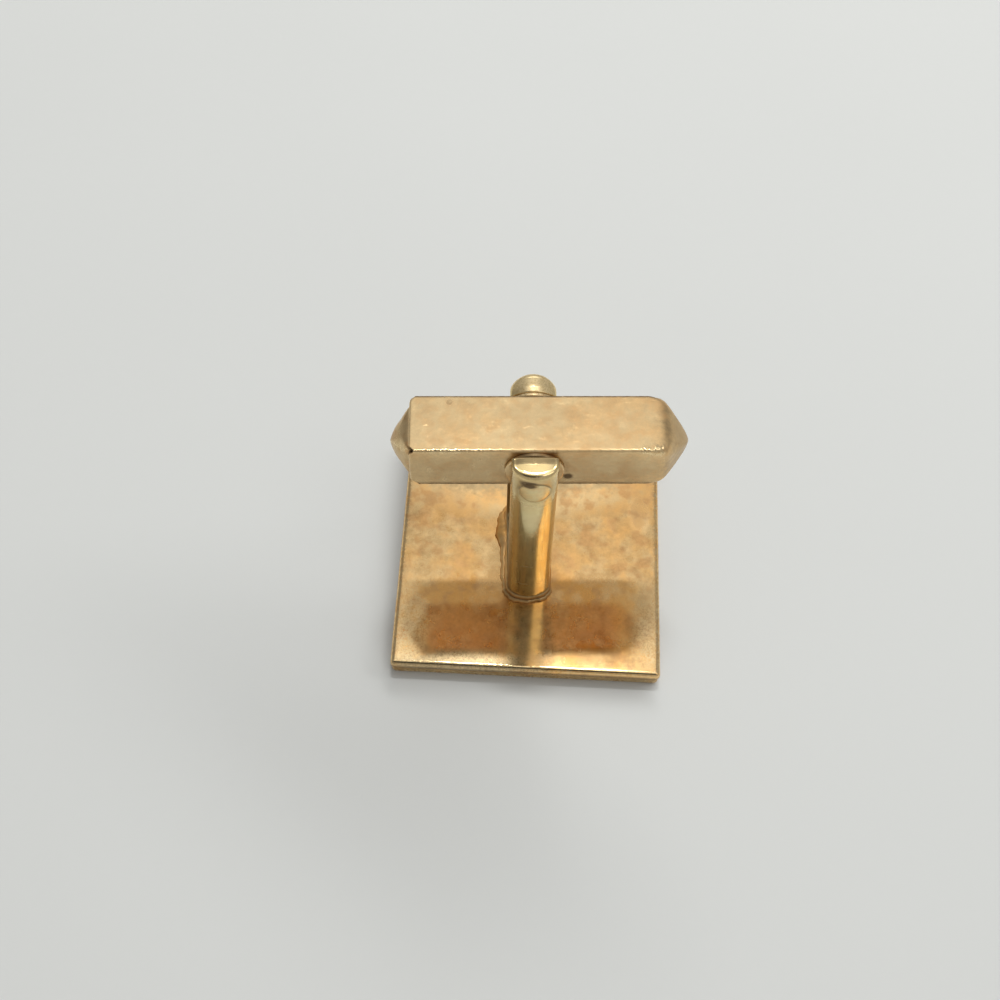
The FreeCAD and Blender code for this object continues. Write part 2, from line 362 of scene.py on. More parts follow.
def yoke_mesh(size):
    """U-shaped yoke: the half-round section of an arm is carried from the near arm's end down to the
    foot, along the bridge and up the far arm, whose end is rounder and falls a little towards the bar.

    A point of the section has x and a depth behind the inner face. In an arm the depth points away from
    the bar, in the bridge it points down; between them the inner side follows the fillet and the outer
    side follows the foot's square corner. A groove round the rivet is sunk into the crown.
    """
    half, flank = YOKE_HIGH[0], size.arm_flank
    rise = YOKE_HIGH[1] - ARM_INNER - flank
    top, foot = YOKE_HIGH[2], YOKE_LOW[2]
    ease, fillet = 0.07, size.bridge_fillet
    corner_height = foot + size.bridge_thickness + fillet
    tight, side_round, blunt = 0.1, 0.2, size.arm_end_round
    dome, slope = 0.13, 0.2
    far_dome, far_slope, far_bevel, bevel_width = 0.42, 0.08, 0.09, 0.36
    cap_rows, round_rows, rivet_rows, lower_rows, corner_rows, bridge_rows = 14, 17, 95, 33, 24, 7

    # Round the section: inner face, eased edge, flank, crown, flank, eased edge
    quarter = np.linspace(0, QUARTER, 6)[1:]
    crown = np.linspace(0, np.pi, 141)
    side = np.linspace(ease, flank, 7)[1:-1]
    flat = np.linspace(-1, 1, 15) * (half - ease)
    eased_x, eased_depth = half - ease + ease * np.sin(quarter), ease * (1 - np.cos(quarter))
    side_x = np.full(len(side), half)
    across = join(flat, eased_x, side_x, half * np.cos(crown), -side_x, -eased_x[::-1]) / half
    base = join(0 * flat, eased_depth, side, np.full(len(crown), flank), side[::-1],
                eased_depth[::-1])
    bow = join(0 * flat, 0 * quarter, 0 * side, np.sin(crown), 0 * side, 0 * quarter)
    on_crown = bow > 0

    def section(drawn):
        """Section drawn in at its inner face, flanks and crown by shares of the free end's three
        roundings: x and depth, a row per share."""
        drawn = np.asarray(drawn, float)[:, None]
        depth = base + drawn * tight * (1 - base / flank) + bow * (rise - drawn * blunt)
        return across * (half - drawn * side_round), depth

    # The free end: a top that falls to its sides, level beside the bar and sloping beyond, then the roundings
    local = tight + (side_round - tight) * base / flank + (blunt - side_round) * bow
    shrink = np.linspace(0.04, 0.985, cap_rows)[:, None]
    cap_x, cap_depth = section(np.ones(cap_rows))
    cap_x = cap_x * shrink
    cap_depth = flank + (cap_depth - flank) * shrink
    cap_height = top - dome * np.abs(cap_x / half) ** 2.5 - slope * np.clip(cap_depth - flank, 0, 1)
    turn = np.linspace(0, QUARTER, round_rows)[:, None]
    round_x, round_depth = section(1 - np.sin(turn[:, 0]))
    round_height = cap_height[-1] - local * (1 - np.cos(turn))

    # The arm, with close stations round the rivet, whose groove gapes at its upper left
    reach, groove_width, groove_depth, seat_depth = size.rivet_radius + 0.17, 0.05, 0.06, 0.1
    along = np.linspace(0, 1, rivet_rows + 1)[1:, None]
    rivet_height = round_height[-1] + (PIVOT_HEIGHT - reach - round_height[-1]) * along
    lower_height = np.linspace(PIVOT_HEIGHT - reach, corner_height, lower_rows + 1)[1:, None] + 0 * across
    arm_height = join(round_height, rivet_height, lower_height)
    plain_x, plain_depth = section(np.zeros(rivet_rows + lower_rows))
    arm_x, arm_depth = join(round_x, plain_x), join(round_depth, plain_depth)
    above_pivot = arm_height - PIVOT_HEIGHT
    from_pivot, turned = np.hypot(arm_x, above_pivot), np.arctan2(above_pivot, arm_x)
    gape = 0.12 + 0.88 * bell(turned - 2.2, 0.5) + 0.4 * bell(turned - 1.3, 0.6)
    groove = bell(from_pivot - size.rivet_radius, groove_width) * gape
    seat = 1 - eased(from_pivot, size.rivet_radius - 0.12, size.rivet_radius - 0.02)
    arm_depth = arm_depth - on_crown * (groove_depth * groove + seat_depth * seat)

    # The corner at the foot, then the near half of the bridge
    part = np.linspace(0, 1, corner_rows + 1)[1:, None]
    foot_x, foot_depth = section(np.zeros(corner_rows))
    deep = np.clip(foot_depth / flank, 0, 1)
    outer_depth = np.maximum(foot_depth, flank)
    drop, draw = np.clip(2 * part, 0, 1), np.clip(2 * part - 1, 0, 1)
    inner_y = ARM_INNER - fillet + fillet * np.cos(part * QUARTER)
    inner_z = corner_height - fillet * np.sin(part * QUARTER)
    outer_y = ARM_INNER + outer_depth - (outer_depth + fillet) * draw
    outer_z = corner_height - (corner_height - foot) * drop
    corner_y = (1 - deep) * inner_y + deep * outer_y
    corner_z = (1 - deep) * inner_z + deep * outer_z
    across_gap = np.linspace(ARM_INNER - fillet, 0.1, bridge_rows + 1)[1:, None]
    bridge_x, bridge_depth = section(np.zeros(bridge_rows))
    bridge_y = np.broadcast_to(across_gap, bridge_x.shape)
    bridge_z = foot + size.bridge_thickness * (1 - np.clip(bridge_depth / flank, 0, 1))

    x = join(cap_x, arm_x, foot_x, bridge_x)
    y = join(ARM_INNER + cap_depth, ARM_INNER + arm_depth, corner_y, bridge_y)
    z = join(cap_height, arm_height, corner_z, bridge_z)
    near = np.stack((x, -y, z), -1)
    beside = np.clip(1 - (y - ARM_INNER) / bevel_width, 0, 1) * eased(z, top - 0.8, top - 0.3)
    beyond = np.clip(y - ARM_INNER - flank, 0, 1) * eased(z, top - 0.8, top - 0.4)
    fallen = far_dome * np.abs(x / half) ** 2 * eased(z, top - 1.6, top - 0.4)
    fallen = fallen + far_bevel * beside + (far_slope - slope) * beyond
    far = np.stack((x, y, z - fallen), -1)[::-1]

    crevice, rim = np.zeros(x.shape), np.zeros(x.shape)
    crevice[cap_rows:cap_rows + len(groove)] = on_crown * np.clip(groove * 1.1, 0, 1)
    rim[cap_rows:cap_rows + round_rows] = 0.3 * bell(turn - 0.5, 0.4) * (bow + 0.3)
    foot_dirt = 0.6 * np.exp(-(z - foot) / 0.35) * (y > ARM_INNER)
    inner_dirt = np.where(base < 0.02, 0.15, 0.0) * (z < top - 0.6)
    grime_and_shade = np.maximum(np.maximum(crevice, foot_dirt), inner_dirt)
    return skin("gilt_post", join(near, far), there_and_back(rim), there_and_back(grime_and_shade))


def solder_mesh(size):
    """Bead round the foot: the post's plan is grown outwards by a width that falls to nothing as the
    bead rises in two quarter circles, one above the other. Width and height swell at a blob on the left
    and ripple slightly."""
    half, foot = YOKE_HIGH[0], YOKE_LOW[2]
    shoulder = ARM_INNER + size.arm_flank
    rise = YOKE_HIGH[1] - shoulder
    sunk = 0.1
    bend = np.linspace(0, np.pi, 81)
    run = np.linspace(-1, 1, 61)[1:-1]
    level, along_side, along_bend = 0 * run, np.ones(len(run)), np.ones(len(bend))
    cosine = join(np.cos(bend), -along_side, -np.cos(bend), along_side)
    sine = join(np.sin(bend), level, -np.sin(bend), level)
    straight = join(along_bend, -run, -along_bend, run) * shoulder
    plan_y = straight + rise * sine
    left = eased(-cosine, 0.5, 1.0)
    near = eased(-plan_y, 2.9, 3.7)
    blob = left * bell(plan_y - 1.3, 1.25)
    walk = round_about(len(cosine))
    ripple = 1 + 0.16 * np.sin(7 * walk + 0.6) + 0.11 * np.sin(17 * walk + 2.1) + 0.06 * np.sin(41 * walk)

    # An even bead, larger at the near end, at the left and at the blob
    width = (0.23 + 0.07 * near + 0.17 * left) * ripple + 0.35 * blob
    height = 0.3 * (1 + 0.3 * (ripple - 1)) + 0.28 * near + 0.12 * left + 0.1 * blob

    # Its profile: two quarter circles with a ledge between them, closed inside the post
    turn = np.linspace(0, QUARTER, 13)[:, None]
    ledge, step = 0.45 * (1 - blob), 0.45 + 0.55 * blob
    inside = -sunk + 0 * width[None]
    grow = join(width * (ledge + (1 - ledge) * np.cos(turn)), width * ledge * np.cos(turn),
                inside, inside)
    rising = join(height * step * np.sin(turn), height * (step + (1 - step) * np.sin(turn)),
                  height[None] - sunk / 2, 0 * height[None])
    x = cosine * (half + grow)
    y = straight + sine * (rise + grow)
    crease = bell(turn, 0.22) + bell(turn - QUARTER, 0.25)
    creases = join(crease, crease, np.ones((2, 1)))
    grime_and_shade = np.clip((0.3 + 0.6 * near) * creases + 0.2 * blob, 0, 1)
    return skin("solder_fillet", np.stack((x, y, foot + rising), -1), 0.0, grime_and_shade, wrap=True)


def pin_mesh(size):
    """Pivot pin: circles about the pivot, drawn in to a square of four flats inside the bar, with heads
    that spread in the arms and end in a shallow dome on the crown."""
    half = YOKE_HIGH[0]
    shoulder = ARM_INNER + size.arm_flank
    rise = YOKE_HIGH[1] - shoulder
    clear, dome, sunk, lip = 0.02, 0.035, 0.01, 0.025
    head, pin, flat = size.rivet_radius - clear, size.pin_radius, size.pin_flat
    around = round_about(144)
    outward = np.stack((np.cos(around), np.sin(around)))
    square = np.minimum(pin, flat / np.max(np.abs(outward), axis=0))

    shrink = join(np.linspace(0.03, 0.9, 22), (0.94, 0.965, 0.985, 0.995, 1.0))[:, None]
    cap_x, cap_z = head * shrink * outward[0], head * shrink * outward[1]
    drawn_down = sunk + lip * eased(shrink, 0.9, 1.0) ** 2
    cap_y = shoulder + crown_depth(cap_x, half, rise) + dome * (1 - shrink**2) - drawn_down
    neck_radius = np.array((1.0, 0.97, 0.9))[:, None] * head
    neck_x, neck_z = neck_radius * outward[0], neck_radius * outward[1]
    neck_depth = np.array((0.12, 0.2, 0.3))[:, None]
    neck_y = shoulder + crown_depth(head * outward[0], half, rise) - neck_depth
    bar_side, cavity = SHELL_HIGH[1], SHELL_HIGH[1] - size.bar_wall
    shank = np.array((ARM_INNER + 0.15, ARM_INNER, bar_side, cavity + 0.03, cavity, cavity - 0.03, 0.5, 0.05))
    squared = np.array((0, 0, 0, 0, 0.5, 1, 1, 1))[:, None]
    shank_radius = pin + (square - pin) * squared
    x = join(cap_x, neck_x, shank_radius * outward[0])
    z = join(cap_z, neck_z, shank_radius * outward[1]) + PIVOT_HEIGHT
    y = join(cap_y, neck_y, np.broadcast_to(shank[:, None], shank_radius.shape))
    grime_and_shade = np.ones(x.shape)
    grime_and_shade[:len(shrink)] = eased(shrink, 0.86, 0.99)
    rings = join(np.stack((x, -y, z), -1), np.stack((x, y, z), -1)[::-1])
    return skin("rivet_pin", rings, 0.0, there_and_back(grime_and_shade))


def washer_mesh(name, side, size):
    """Washer: a flat section with round edges, turned about the pivot."""
    thin, wide = WASHER_LOW[1], WASHER_HIGH[1]
    hole, rim = size.pin_radius + PLAY, (WASHER_HIGH[0] - WASHER_LOW[0]) / 2
    signs, directions = square_loop(7, 12)
    ease = 0.1
    radius = (hole + rim) / 2 + signs[:, 0] * ((rim - hole) / 2 - ease) + directions[:, 0] * ease
    across = (thin + wide) / 2 + signs[:, 1] * ((wide - thin) / 2 - ease) + directions[:, 1] * ease
    around = round_about(160)[:, None]
    x, z = radius * np.cos(around), PIVOT_HEIGHT + radius * np.sin(around)
    y = side * np.broadcast_to(across, x.shape)
    edge = np.clip(directions[:, 0] * (directions[:, 1] > 0.2), 0, 1) * (signs[:, 0] > 0)
    grime_and_shade = 0.4 * np.clip(1 - (across - thin) / ease, 0, 1)
    return skin(name, np.stack((x, y, z), -1), edge, grime_and_shade, wrap=True)


def point_size(reach):
    """Size of the nose at a share of its length: an even slope, met after the shoulder by a soft bend,
    with a round tip."""
    soft = 0.08
    slope = 1.22 - 1.02 * reach
    bend = 1 - soft * np.log1p(np.exp((1 - slope) / soft))
    return bend * np.sqrt(1 - np.clip(reach, 0, 1) ** 8)


def chips(stations, loop):
    """Small dents along a rubbed edge, from 0 to 1: products of sines along X, apart on each edge."""
    phase = 1.7 * loop[0][:, 0] + 0.9 * loop[0][:, 1]
    along = stations[:, None]
    dents = np.sin(along * 17 + phase) * np.sin(along * 7.3 + 2 * phase)
    return np.clip(dents + 0.5 * np.sin(along * 29 + 3 * phase), 0, 1)


def shell_mesh(size):
    """Bar: rounded rectangles across X run from the end of the cavity back to the open mouth, round the
    rim of the walls, and along the outside to the tip of the nose. The mouth draws back at the four
    edges, where the walls' free corners are rounded off, and small dents widen the long edges."""
    loop = square_loop(11, 26)
    half_y, half_z = SHELL_HIGH[1], (SHELL_HIGH[2] - SHELL_LOW[2]) / 2
    wall, edge_round = size.bar_wall, size.bar_round
    mouth, shoulder = SHELL_LOW[0], SHELL_LOW[0] + size.bar_length
    nose = SHELL_HIGH[0] - shoulder
    lip, cavity_round, nose_round, cavity_nose = 0.1, 0.15, 0.9, 0.8
    turn = np.linspace(0, QUARTER, 7)

    # Stations: cavity point, cavity run, rim of the mouth, outer run, nose
    reach = 1 - np.linspace(1, 0, 48) ** 1.8
    inner_reach = reach[:-1:3][::-1]
    cavity_run = np.linspace(shoulder, mouth + 1.6, 9)[1:]
    behind_mouth = mouth + np.array((1.1, 0.7, 0.45, 0.3, 0.2))
    cavity_x = join(shoulder + inner_reach * nose * cavity_nose, cavity_run, behind_mouth)
    cavity_size = np.ones(len(cavity_x))
    cavity_size[:len(inner_reach)] = np.maximum(point_size(inner_reach), 0.05)
    outer_x = join(np.linspace(mouth + lip, shoulder, 210)[1:-1], shoulder + reach * nose)
    outer_reach = (outer_x - shoulder) / nose
    stations = join(cavity_x, mouth + lip * (1 - np.sin(turn)),
                    mouth + lip * (1 - np.cos(turn)), outer_x)
    inset = join(np.full(len(cavity_x), wall), wall - lip * (1 - np.cos(turn)),
                 lip * (1 - np.sin(turn)), 0 * outer_x)
    scale = join(cavity_size, np.ones(2 * len(turn)), np.maximum(point_size(outer_reach), 0.02))
    corner = edge_round - inset * (edge_round - cavity_round) / wall
    corner[-len(outer_x):] += nose_round * np.clip(outer_reach + 0.3, 0, 1)
    near_top = (loop[0][:, 0] < 0) * (loop[0][:, 1] > 0)
    by_shoulder = bell(stations - shoulder + 0.5, 0.7)[:, None]
    light_wear, top_wear, shoulder_wear = 0.02, 0.045, 0.1
    wear = light_wear + near_top * (top_wear + shoulder_wear * by_shoulder)
    dented = (eased(stations, mouth + 0.3, mouth + 1) * (inset == 0))[:, None] * wear
    corner = corner[:, None] + dented * chips(stations, loop)
    u, v = square_rings(loop, (half_y - inset) * scale, (half_z - inset) * scale, corner * scale[:, None])

    from_mouth = (stations - mouth)[:, None]
    outline_v, from_corner = from_edges(loop, half_y, half_z, edge_round)[1:]
    depth = size.mouth_notch * np.where(outline_v < 0, 1.7, 1.0)
    notch = depth * (1 - eased(from_corner, 0.08, depth + 0.14))
    x = stations[:, None] + notch * np.exp(-np.maximum(from_mouth, 0) / 0.5)

    # Rubbed edges, and dirt in the cavity and round the washers. Painted dark reflections: lines along the
    # lower edges of the sides and along the far top edge
    outside = (inset < 0.02)[:, None]
    pale_wear_and_highlight = outside * bell(np.maximum(from_corner - 0.07, 0), 0.12)
    lip_wear = 0.25 * bell(from_mouth - 0.05, 0.12) * (inset < 0.25)[:, None]
    rubbing = 0.2 + 0.8 * (bell(from_mouth - 2.2, 2.2) + by_shoulder)
    rubbing = rubbing * (1 - eased(stations, shoulder - 0.2, shoulder + 0.2))[:, None]
    scuff = bell(from_corner, 0.5) * near_top * by_shoulder * outside
    on_side = np.abs(u) > half_y - 0.06
    # Painted dark reflection along the lower edges of the sides
    bottom = bell(half_z + v - 0.14, 0.16) * on_side * outside
    # Painted dark reflection along the far top edge
    painted_far_line = bell(half_y - 0.1 - u, 0.1) * (v > half_z - 0.18) * outside
    dirt_radius, dirt_width = 1.95, 0.13
    by_washer = 0.2 * bell(np.hypot(x, v) - dirt_radius, dirt_width) * on_side
    edge = np.clip(pale_wear_and_highlight * rubbing + scuff + lip_wear, 0, 1) * (1 - 0.8 * bottom) * (1 - 0.7 * painted_far_line)
    grime_and_shade = np.clip((inset > 0.2)[:, None] + bottom + painted_far_line + by_washer, 0, 1)
    return skin("bar_shell", np.stack((x, u, PIVOT_HEIGHT + v), -1), edge, grime_and_shade)


def plug_mesh(size):
    """End plug: rounded rectangles across X run from the tenon inside the bar to the tip of a pyramid
    with swelling sides, whose size falls as (1 - reach^1.65)^0.75."""
    loop = square_loop(9, 28)
    half_y = (PLUG_HIGH[1] - PLUG_LOW[1]) / 2 - size.plug_gap
    half_z = (PLUG_HIGH[2] - PLUG_LOW[2]) / 2 - size.plug_gap
    base, tip = SHELL_LOW[0], PLUG_LOW[0]
    tenon_round, tip_round = 0.17, 1.2
    reach = 1 - np.linspace(1, 0, 36) ** 1.8
    tenon = PLUG_HIGH[0] - np.array((0.0, 0.0, 0.1, 0.3, 0.7, 1.1, 1.3))
    stations = join(tenon, base + reach * (tip - base))
    scale = join((0.1, 0.97, 1, 1, 1, 1, 1), np.maximum((1 - reach**1.65) ** 0.75, 0.02))
    corner = np.full(len(stations), tenon_round)
    corner[len(tenon):] = np.minimum(tenon_round + 2.2 * reach, tip_round)
    u, v = square_rings(loop, half_y * scale, half_z * scale, corner * scale)
    x = np.broadcast_to(stations[:, None], u.shape)
    inside = eased(stations, base - 0.12, base + 0.25)[:, None]
    from_corner = from_edges(loop, half_y, half_z, tenon_round)[2]
    edge = bell(from_corner, 0.1) * (1 - inside)
    return skin("bar_plug", np.stack((x, u, PIVOT_HEIGHT + v), -1), edge, inside)


# Finishes


class Value:
    """A socket of a node tree. Arithmetic on numbers adds Math nodes."""

    def __init__(self, graph, socket):
        self.graph, self.socket = graph, socket

    def math(self, operation, *terms):
        return self.graph.node("ShaderNodeMath", {"operation": operation}, dict(enumerate(terms)))

    def __add__(self, other):
        return self.math("ADD", self, other)

    __radd__ = __add__

    def __sub__(self, other):
        return self.math("SUBTRACT", self, other)

    def __rsub__(self, other):
        return self.math("SUBTRACT", other, self)

    def __mul__(self, other):
        return self.math("MULTIPLY", self, other)

    __rmul__ = __mul__

    def __abs__(self):
        return self.math("ABSOLUTE", self)

    def most(self, other):
        return self.math("MAXIMUM", self, other)

    def smooth(self, low, high):
        """Smooth step from 0 at low to 1 at high."""
        return self.graph.node("ShaderNodeMapRange", {"interpolation_type": "SMOOTHSTEP"},
                               {"Value": self, "From Min": low, "From Max": high})

    def output(self, key):
        """Another output of the same node."""
        return Value(self.graph, self.socket.node.outputs[key])


class Graph:
    """The node tree of a material or of the world."""

    def __init__(self, tree):
        self.tree = tree
        tree.nodes.clear()

    def node(self, kind, settings=None, inputs=None):
        """Add a node, apply its settings, fill its sockets by name or number, and give its first output."""
        made = self.tree.nodes.new(kind)
        for name, setting in (settings or {}).items():
            setattr(made, name, setting)
        for key, filling in (inputs or {}).items():
            if isinstance(filling, Value):
                self.tree.links.new(filling.socket, made.inputs[key])
            else:
                made.inputs[key].default_value = filling
        live = [socket for socket in made.outputs if socket.enabled]
        return Value(self, live[0]) if live else made

    def vector(self, operation, first, second):
        """Vector maths on two vectors."""
        return self.node("ShaderNodeVectorMath", {"operation": operation}, {0: first, 1: second})

    def place(self):
        """Object coordinates in millimetres."""
        where = self.node("ShaderNodeTexCoord").output("Object")
        return self.node("ShaderNodeVectorMath", {"operation": "SCALE"}, {0: where, "Scale": 1 / MM})

    def stretched(self, place, stretch, turn=(0.0, 0.0, 0.0)):
        """The place turned and stretched, for patterns that run in one direction."""
        return self.node("ShaderNodeMapping", {"vector_type": "POINT"},
                         {"Vector": place, "Rotation": turn, "Scale": stretch})

    def noise(self, place, scale, detail=2.0, rough=0.5, seed=0.0):
        """Noise from 0 to 1, with scale as its features to the millimetre."""
        return self.node("ShaderNodeTexNoise", {"noise_dimensions": "4D"},
                         {"Vector": place, "W": seed, "Scale": scale, "Detail": detail, "Roughness": rough})

    def mark(self, name):
        """A point attribute of the mesh."""
        return self.node("ShaderNodeAttribute", {"attribute_name": name}).output("Fac")

    def mix(self, factor, first, second):
        """Blend of two colours."""
        fill = {"Factor": factor, 6: self.opaque(first), 7: self.opaque(second)}
        return self.node("ShaderNodeMix", {"data_type": "RGBA"}, fill)

    @staticmethod
    def opaque(tint):
        return tint if isinstance(tint, Value) else (*tint, 1.0)

    def bump(self, height, distance, strength=1.0):
        fill = {"Strength": strength, "Distance": distance, "Height": height}
        return self.node("ShaderNodeBump", None, fill)

    def surface(self, shader):
        """Lead a shader to the output."""
        self.node("ShaderNodeOutputMaterial", None, {"Surface": shader})

    def spot(self, place, centre, reach, ragged):
        """A soft oval patch about a point, as far as its reach along X, Y and Z, its edge broken by a
        noise."""
        away = self.vector("DIVIDE", self.vector("SUBTRACT", place, centre), reach)
        away = self.node("ShaderNodeVectorMath", {"operation": "LENGTH"}, {0: away}).output("Value")
        return (away + (ragged - 0.5) * 0.9).smooth(1.0, 0.5)


def new_material(name):
    material = bpy.data.materials.new(name)
    material.use_nodes = True
    return material, Graph(material.node_tree)


# What age has left in places, and painted shade and highlights in some of them, as kind, centre, reach along
# X, Y and Z, and strength
PLATE_PATCHES = (
    ("ruddy", (-5, 3.6, 1.4), (2.4, 2.4, 1), 0.5),
    # Painted shadow colour: a ruddy band across the plate where the bar's shadow falls
    ("ruddy", (0.2, -3.1, 1.4), (9, 2.2, 1), 0.85),
    ("dirt_and_shade", (8, 3, 1.4), (1, 2, 1), 0.7),
    ("tarnish_and_shade", (0, 8.2, 1.4), (12, 4.4, 1), 1),
    ("polished", (5, -8.5, 1.4), (5, 1.8, 1), 0.2),
    ("tarnish_and_shade", (0.5, -6.8, 1.4), (1.5, 3.8, 1), 0.75),
    ("tarnish_and_shade", (-5, -8.9, 1.4), (6.5, 1.6, 1), 1),
    ("tarnish_and_shade", (5.5, -8.6, 1.4), (4.5, 1.3, 1), 0.2),
    ("dull", (0.2, 5.4, 1.4), (10, 3, 1), 0.25),
    ("tarnish_and_shade", (8.6, -5.5, 1.4), (1.8, 4.4, 1), 0.4),
    ("scuff_and_highlight", (-4, -8.6, 1.4), (4.8, 1.3, 1), 0.45),
    ("scuff_and_highlight", (-8.3, -6, 1.4), (2, 3.6, 1), 0.6),
    ("scuff_and_highlight", (8.4, -6.5, 1.4), (1.8, 3, 1), 0.5),
)
# Painted shade: the front panel's side darkened all round
FRONT_PATCHES = (("tarnish_and_shade", (0.2, 0, 0.45), (40, 40, 0.6), 0.5),)
POST_PATCHES = (
    ("dull", (0, -3.9, 15.6), (2.6, 1.3, 1.9), 0.6),
    # Painted dark reflection: the level band of the near arm's end, beside the bar
    ("tarnish_and_shade", (0, -2.4, 17.3), (2.4, 0.6, 0.8), 0.7),
    # Painted shade: the arms' left flanks made dull and darker
    ("dull", (-1.45, 0, 5), (0.4, 6, 12), 0.8),
    ("tarnish_and_shade", (-1.45, 0, 5), (0.4, 6, 12), 0.9),
    ("ruddy", (0, -3.5, 17), (2.6, 2, 1.3), 0.25),
    ("dull", (0, 3.5, 16.3), (2.6, 2, 3), 0.5),
    ("ruddy", (0, 3.4, 17.2), (2.8, 2, 1.3), 0.3),
    # Painted dark reflection: the near arm's front below its end made greyer and darker
    ("tarnish_and_shade", (0, -3.7, 15.8), (2.4, 1, 1.5), 0.4),
    # Painted highlight: the far arm's end made paler
    ("scuff_and_highlight", (0, 3.4, 17.2), (2.4, 1.6, 0.8), 0.9),
    ("scuff_and_highlight", (-0.24, -3.8, 6.2), (0.6, 0.6, 0.09), 1),
    ("scuff_and_highlight", (-0.47, -3.8, 3.73), (0.5, 0.6, 0.09), 1),
    ("dirt_and_shade", (-0.35, -3.8, 16.45), (0.8, 0.6, 0.4), 1),
)
SOLDER_PATCHES = (("tarnish_and_shade", (0, -3.6, 1.6), (3.2, 1.6, 1.2), 0.7),)
PIN_PATCHES = (("dirt_and_shade", (-0.4, -3.8, 16.3), (0.7, 0.6, 0.3), 1),)
RING_PATCHES = (
    ("tarnish_and_shade", (0, 0, 15.4), (6, 6, 6), 0.25),
    # Painted highlight: the far ring's top made paler beside the bar
    ("scuff_and_highlight", (0, 2.4, 17.4), (2, 0.7, 0.6), 1),
    # Painted shadow: darkens the near ring's top beside the bar
    ("dirt_and_shade", (0, -2.4, 17.4), (2.2, 0.7, 0.7), 0.85),
)
BAR_PATCHES = (
    ("dirt_and_shade", (2.05, -2.03, 14.6), (0.4, 0.4, 0.4), 1),
    ("dirt_and_shade", (-5.1, 1.5, 17.35), (0.3, 0.3, 0.3), 0.6),
    # Tarnish with painted shade: the bar's near face darkened
    ("tarnish_and_shade", (0, -2.03, 15.3), (12, 0.5, 2.2), 0.34),
    ("dull", (1.5, -2.03, 17.35), (6.5, 0.35, 0.35), 0.6),
    # Tarnish with painted shade: the bar's underside darkened
    ("tarnish_and_shade", (0, 0, 13.6), (14, 4, 0.6), 0.1),
    ("tarnish_and_shade", (0.3, 0, 17.35), (3, 2.4, 0.5), 0.15),
    # Tarnish with painted shade: the nose darkened
    ("tarnish_and_shade", (9.6, 0, 15.2), (3, 4, 4), 0.55),
    # Painted dark reflection: a band at the nose's shoulder
    ("tarnish_and_shade", (7.9, 0, 15.4), (0.7, 2.6, 2.6), 0.75),
)
# Tarnish with painted shade: the plug darkened
PLUG_PATCHES = (("tarnish_and_shade", (-8.6, 0, 15.4), (2.4, 3.2, 3.2), 0.5),)


